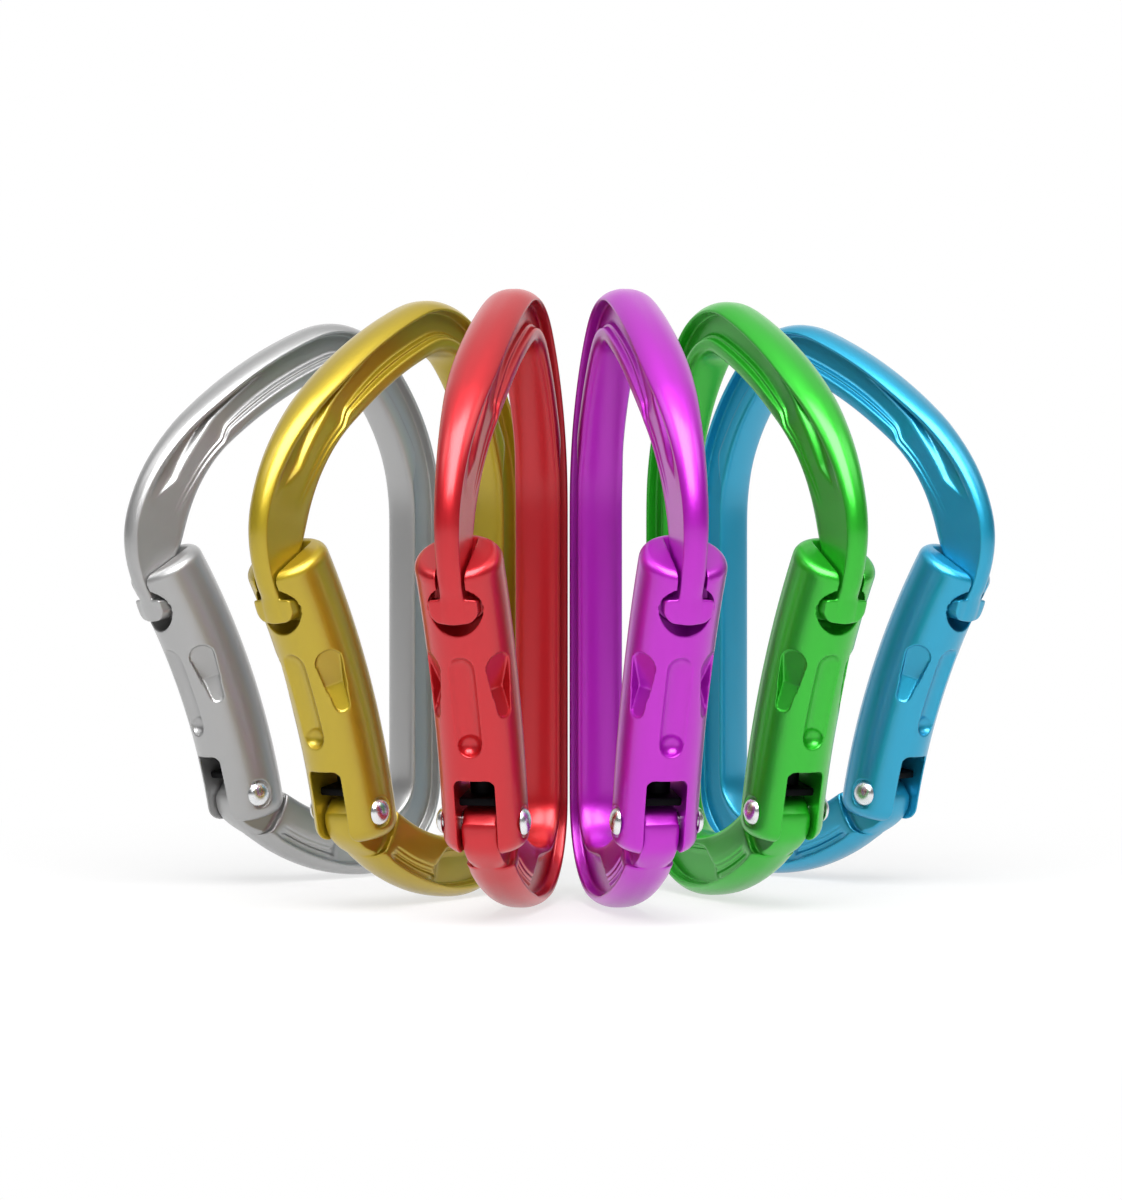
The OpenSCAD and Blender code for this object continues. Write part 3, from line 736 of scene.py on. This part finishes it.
# %% Wires and graphs
class Wire:
    """One output socket, with Python's operators for shader maths on values."""

    def __init__(self, graph, socket):
        self.graph, self.socket = graph, socket

    def math(self, operation, *values):
        """A Math node's result for some values or wires."""
        return self.graph.node("ShaderNodeMath", dict(enumerate(values)), operation=operation)

    def larger(self, other):
        """The larger of this wire and another value."""
        return self.math("MAXIMUM", self, other)

    def __add__(self, other):
        return self.math("ADD", self, other)

    def __sub__(self, other):
        return self.math("SUBTRACT", self, other)

    def __rsub__(self, other):
        return self.math("SUBTRACT", other, self)

    def __mul__(self, other):
        return self.math("MULTIPLY", self, other)

    __radd__, __rmul__ = __add__, __mul__


class Graph:
    """A material's or the world's node tree."""

    def __init__(self, owner):
        owner.use_nodes = True
        self.tree = owner.node_tree
        self.tree.nodes.clear()

    def node(self, kind, inputs=None, out=0, **settings):
        """Adds a node, and gives the wire of one of its outputs."""
        made = self.tree.nodes.new(kind)
        for key, value in settings.items():
            setattr(made, key, value)
        for key, value in (inputs or {}).items():
            if isinstance(value, Wire):
                self.tree.links.new(value.socket, made.inputs[key])
            else:
                made.inputs[key].default_value = value
        return Wire(self, made.outputs[out]) if len(made.outputs) else made


print("shader maths ready")

# %% [markdown]
# ## Anodised aluminium
#
# The frames and gates are bead-blasted, dyed and sealed. The blasting leaves a very fine grain, much
# smaller than a millimetre, and the dye is never quite even. The clear sealed layer on top gives pale
# highlights over the colour. A plain coloured metal would look like toy plating. So the finish is a
# coloured metal of medium roughness with a thin coat, and two noises: one wide, for the dye, and one fine,
# for the grain.

# %% Anodised finishes
ANODISED = {
    "silver": (0.4, 0.4, 0.4), "gold": (0.47, 0.345, 0.016), "red": (0.56, 0.012, 0.02),
    "violet": (0.50, 0.012, 0.55), "green": (0.022, 0.48, 0.02), "blue": (0.014, 0.36, 0.58)}
DYE_SCALE, GRAIN_SCALE = 70, 5200
DYE_SWING, GRAIN_SWING, GLOSS_SWING = 0.10, 0.10, 0.16
DARKEST, LIGHTEST = 0.82, 1.18
SATIN = 0.4
MIDDLE = 0.5  # a noise's middle value
FACTOR, COLOUR_A, COLOUR_B, COLOUR_OUT = 0, 6, 7, 2  # sockets of a Mix node for colours


def noise(graph, scale, detail):
    """A noise in the piece's own coordinates."""
    place = graph.node("ShaderNodeTexCoord", out="Object")
    return graph.node("ShaderNodeTexNoise", {"Vector": place, "Scale": scale, "Detail": detail})


def anodised(name, colour):
    """A satin anodised finish in one colour."""
    material = bpy.data.materials.new(name)
    graph = Graph(material)
    dye, grain = noise(graph, DYE_SCALE, 2), noise(graph, GRAIN_SCALE, 2)
    tone = (dye - MIDDLE) * DYE_SWING + (grain - MIDDLE) * GRAIN_SWING + MIDDLE
    dark, light = [tuple(share * c for c in colour) + (1,) for share in (DARKEST, LIGHTEST)]
    shade = graph.node("ShaderNodeMix", {FACTOR: tone, COLOUR_A: dark, COLOUR_B: light}, out=COLOUR_OUT,
                       data_type="RGBA")
    bump = graph.node("ShaderNodeBump", {"Height": grain, "Strength": 0.12, "Distance": 0.00003})
    metal = graph.node("ShaderNodeBsdfPrincipled", {
        "Base Color": shade, "Metallic": 0.75, "Specular IOR Level": 0.3,
        "Roughness": (grain - MIDDLE) * GLOSS_SWING + SATIN, "Normal": bump,
        "Coat Weight": 0.65, "Coat Roughness": 0.22, "Coat IOR": 1.6})
    graph.node("ShaderNodeOutputMaterial", {"Surface": metal})
    return material


finishes = {name: anodised(f"{name}_anodised", colour) for name, colour in ANODISED.items()}
print(len(finishes), "anodised finishes")

# %% [markdown]
# ## Steel
#
# The rivets are polished, the springs are plain drawn steel, and the plungers are painted almost black:
# painted shade for the dark window above the hinge tail. All three are bare metal, so one function makes
# them, and a noise in the roughness gives each the faint marks of its making.

# %% Steel finishes
POLISH_SWING = 0.12


def steel(name, colour, roughness, mark_scale):
    """Bare steel with faint marks in its polish."""
    material = bpy.data.materials.new(name)
    graph = Graph(material)
    marks = noise(graph, mark_scale, 3)
    metal = graph.node("ShaderNodeBsdfPrincipled", {
        "Base Color": (*colour, 1), "Metallic": 1.0,
        "Roughness": (marks - MIDDLE) * POLISH_SWING + roughness})
    graph.node("ShaderNodeOutputMaterial", {"Surface": metal})
    return material


rivet_steel = steel("rivet_steel", (0.80, 0.81, 0.82), 0.27, 900)
spring_steel = steel("spring_steel", (0.56, 0.57, 0.58), 0.34, 2500)
# The plungers' near-black colour is painted shade for the dark window above the hinge tail.
plunger_steel = steel("plunger_steel", (0.008, 0.008, 0.009), 0.6, 1800)
print("steel finishes for rivets, springs and plungers")

# %% [markdown]
# ## Six copies in the fan
#
# Each carabiner stands upright on its basket, turned about the vertical. The left three look to the left
# and the right three to the right. Objects could be moved instead of meshes, but an export may put every
# object back at the origin. So a copy has its own mesh with its place in it, and its object stays there.
# When a gate opens, its plunger slides up the bore.

# %% Place the copies
FAN_X, FAN_Y = -0.085, 6.965
FAN = {  # mm to the right, mm to the back, degrees about the vertical
    "silver": (-23.1, 46, 221.1), "gold": (-8, 13.1, 234.4), "red": (-1.8, 0, 257.3),
    "violet": (5.1, 0, -77), "green": (17.9, 17.1, -65), "blue": (27, 49.5, -45.9)}


def stand_up(side, back, turn):
    """From the flat drawing in mm to a carabiner's place in the fan in metres."""
    return (Matrix.Scale(MM, 4) @ Matrix.Translation((side + FAN_X, back + FAN_Y, 0))
            @ Matrix.Rotation(math.radians(turn), 4, "Z") @ Matrix.Rotation(math.pi / 2, 4, "X"))


def copy_of(model, name, matrix, material, body, node):
    """Copies a model to its place, gives it its finish, and ties it to its CAD node and body."""
    only(model)
    bpy.ops.object.duplicate()
    piece = bpy.context.object
    piece.name = piece.data.name = name
    piece.data.transform(matrix)
    piece.data.materials.clear()
    piece.data.materials.append(material)
    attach(piece, body)
    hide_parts(node)
    return piece


for colour, spot in FAN.items():
    matrix = stand_up(*spot)
    dyed, dye_slot, gate_body = finishes[colour], f"{colour}_anodised", f"{colour}_gate"
    copy_of(bar, f"{colour}_forged_frame", matrix, dyed, "frames", f"{colour}_frame")
    copy_of(gate, f"{colour}_bent_gate", matrix, dyed, gate_body, f"{colour}_gate")
    copy_of(rivet, f"{colour}_domed_rivet", matrix, rivet_steel, gate_body,
            f"{colour}_hinge_rivet")
    # The plunger's near-black finish is painted shade in the window over the tail.
    copy_of(plunger, f"{colour}_footed_plunger", matrix, plunger_steel,
            f"{colour}_plunger", f"{colour}_spring_plunger")
    coil = copy_of(spring, f"{colour}_wound_spring", matrix, spring_steel, gate_body,
                   f"{colour}_gate_spring")
    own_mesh(coil)
for model in (bar, gate, rivet, plunger, spring, middle_line):
    bpy.data.objects.remove(model)
print(len(FAN), "carabiners placed")

# %% [markdown]
# ## Floor, background and light
#
# The set stands on a white floor. To the camera and in reflections the floor is mostly its own white, so
# that it has no visible end, and near the set a share of plain matte white keeps the shadow. White light
# from all round would be the simplest, but metal looks flat in it. So metal sees white behind the set, a
# greyer ceiling and a dim room in front, as in a studio, which gives it dark sides. One large soft light
# hangs in front and above, and a weaker one at each side.

# %% Floor
FLOOR_SIZE = 6.0
SHADOW_NEAR, SHADOW_FAR, SHADOW_SHARE = 0.05, 0.2, 0.3
MATTE_WHITE, WHITE = (0.92, 0.92, 0.92, 1), (1, 1, 1, 1)

floor = add(bpy.ops.mesh.primitive_plane_add, size=FLOOR_SIZE)
floor.name = floor.data.name = "studio_floor"


def light_path(graph, *names):
    """1 for rays of the named kinds, and 0 for others."""
    path = graph.node("ShaderNodeLightPath").socket.node
    kinds = [Wire(graph, path.outputs[f"Is {name} Ray"]) for name in names]
    seen = kinds[0]
    for kind in kinds[1:]:
        seen = seen.larger(kind)
    return seen


def fade(graph, value, low, high, first=0.0, last=1.0):
    """Goes softly from a first number to a last one while a value goes from low to high."""
    ends = {"Value": value, "From Min": low, "From Max": high, "To Min": first, "To Max": last}
    return graph.node("ShaderNodeMapRange", ends, interpolation_type="SMOOTHSTEP")


floor_material = bpy.data.materials.new("studio_white")
graph = Graph(floor_material)
place = graph.node("ShaderNodeTexCoord", out="Object")
away = graph.node("ShaderNodeVectorMath", {0: place}, out="Value", operation="LENGTH")
matte_share = fade(graph, away, SHADOW_NEAR, SHADOW_FAR, SHADOW_SHARE, 0.0)
matte = graph.node("ShaderNodeBsdfDiffuse", {"Color": MATTE_WHITE})
glow = graph.node("ShaderNodeEmission", {"Color": WHITE, "Strength": 1.0})
white = graph.node("ShaderNodeMixShader", {0: matte_share, 1: glow, 2: matte})
seen = light_path(graph, "Camera", "Glossy", "Transmission")
surface = graph.node("ShaderNodeMixShader", {0: seen, 1: matte, 2: white})
graph.node("ShaderNodeOutputMaterial", {"Surface": surface})
floor.data.materials.append(floor_material)
print("floor", FLOOR_SIZE, "m wide")

# %% Background
AMBIENT, FRONT, OVERHEAD = 0.12, 0.1, 0.6
BEHIND_FROM, BEHIND_TO = 0.2, 0.9
OVERHEAD_FROM, OVERHEAD_TO = 0.3, 0.9

world = bpy.data.worlds.new("studio")
bpy.context.scene.world = world
graph = Graph(world)
way = graph.node("ShaderNodeTexCoord", out="Generated")
parts = graph.node("ShaderNodeSeparateXYZ", {0: way}).socket.node
behind = fade(graph, Wire(graph, parts.outputs["Y"]), BEHIND_FROM, BEHIND_TO)
overhead = fade(graph, Wire(graph, parts.outputs["Z"]), OVERHEAD_FROM, OVERHEAD_TO)
room = behind.larger(overhead * OVERHEAD) * (1 - FRONT) + FRONT
mirrored = light_path(graph, "Glossy", "Transmission") * room
strength = light_path(graph, "Camera").larger(mirrored).larger(AMBIENT)
backdrop = graph.node("ShaderNodeBackground", {"Color": WHITE, "Strength": strength})
graph.node("ShaderNodeOutputWorld", {"Surface": backdrop})
bpy.context.scene.view_settings.view_transform = "Standard"
print("background with", AMBIENT, "of ambient light")

# %% Lights
AIM = Vector((0, 0, 0.05))
LIGHTS = {  # place and size in metres, watts
    "front_top_light": ((0, -0.4, 0.6), 0.55, 8.0),
    "left_light": ((-0.5, -0.15, 0.6), 0.3, 0.5),
    "right_light": ((0.5, -0.15, 0.6), 0.3, 0.5)}


def soft_light(name, at, size, watts):
    """A square area light that looks at the middle of the set."""
    data = bpy.data.lights.new(name, "AREA")
    data.shape = "SQUARE"
    data.size, data.energy = size, watts
    lamp = bpy.data.objects.new(name, data)
    lamp.location = at
    lamp.rotation_euler = (AIM - Vector(at)).to_track_quat("-Z", "Y").to_euler()
    bpy.context.scene.collection.objects.link(lamp)


for name, settings in LIGHTS.items():
    soft_light(name, *settings)
print(len(LIGHTS), "soft lights")
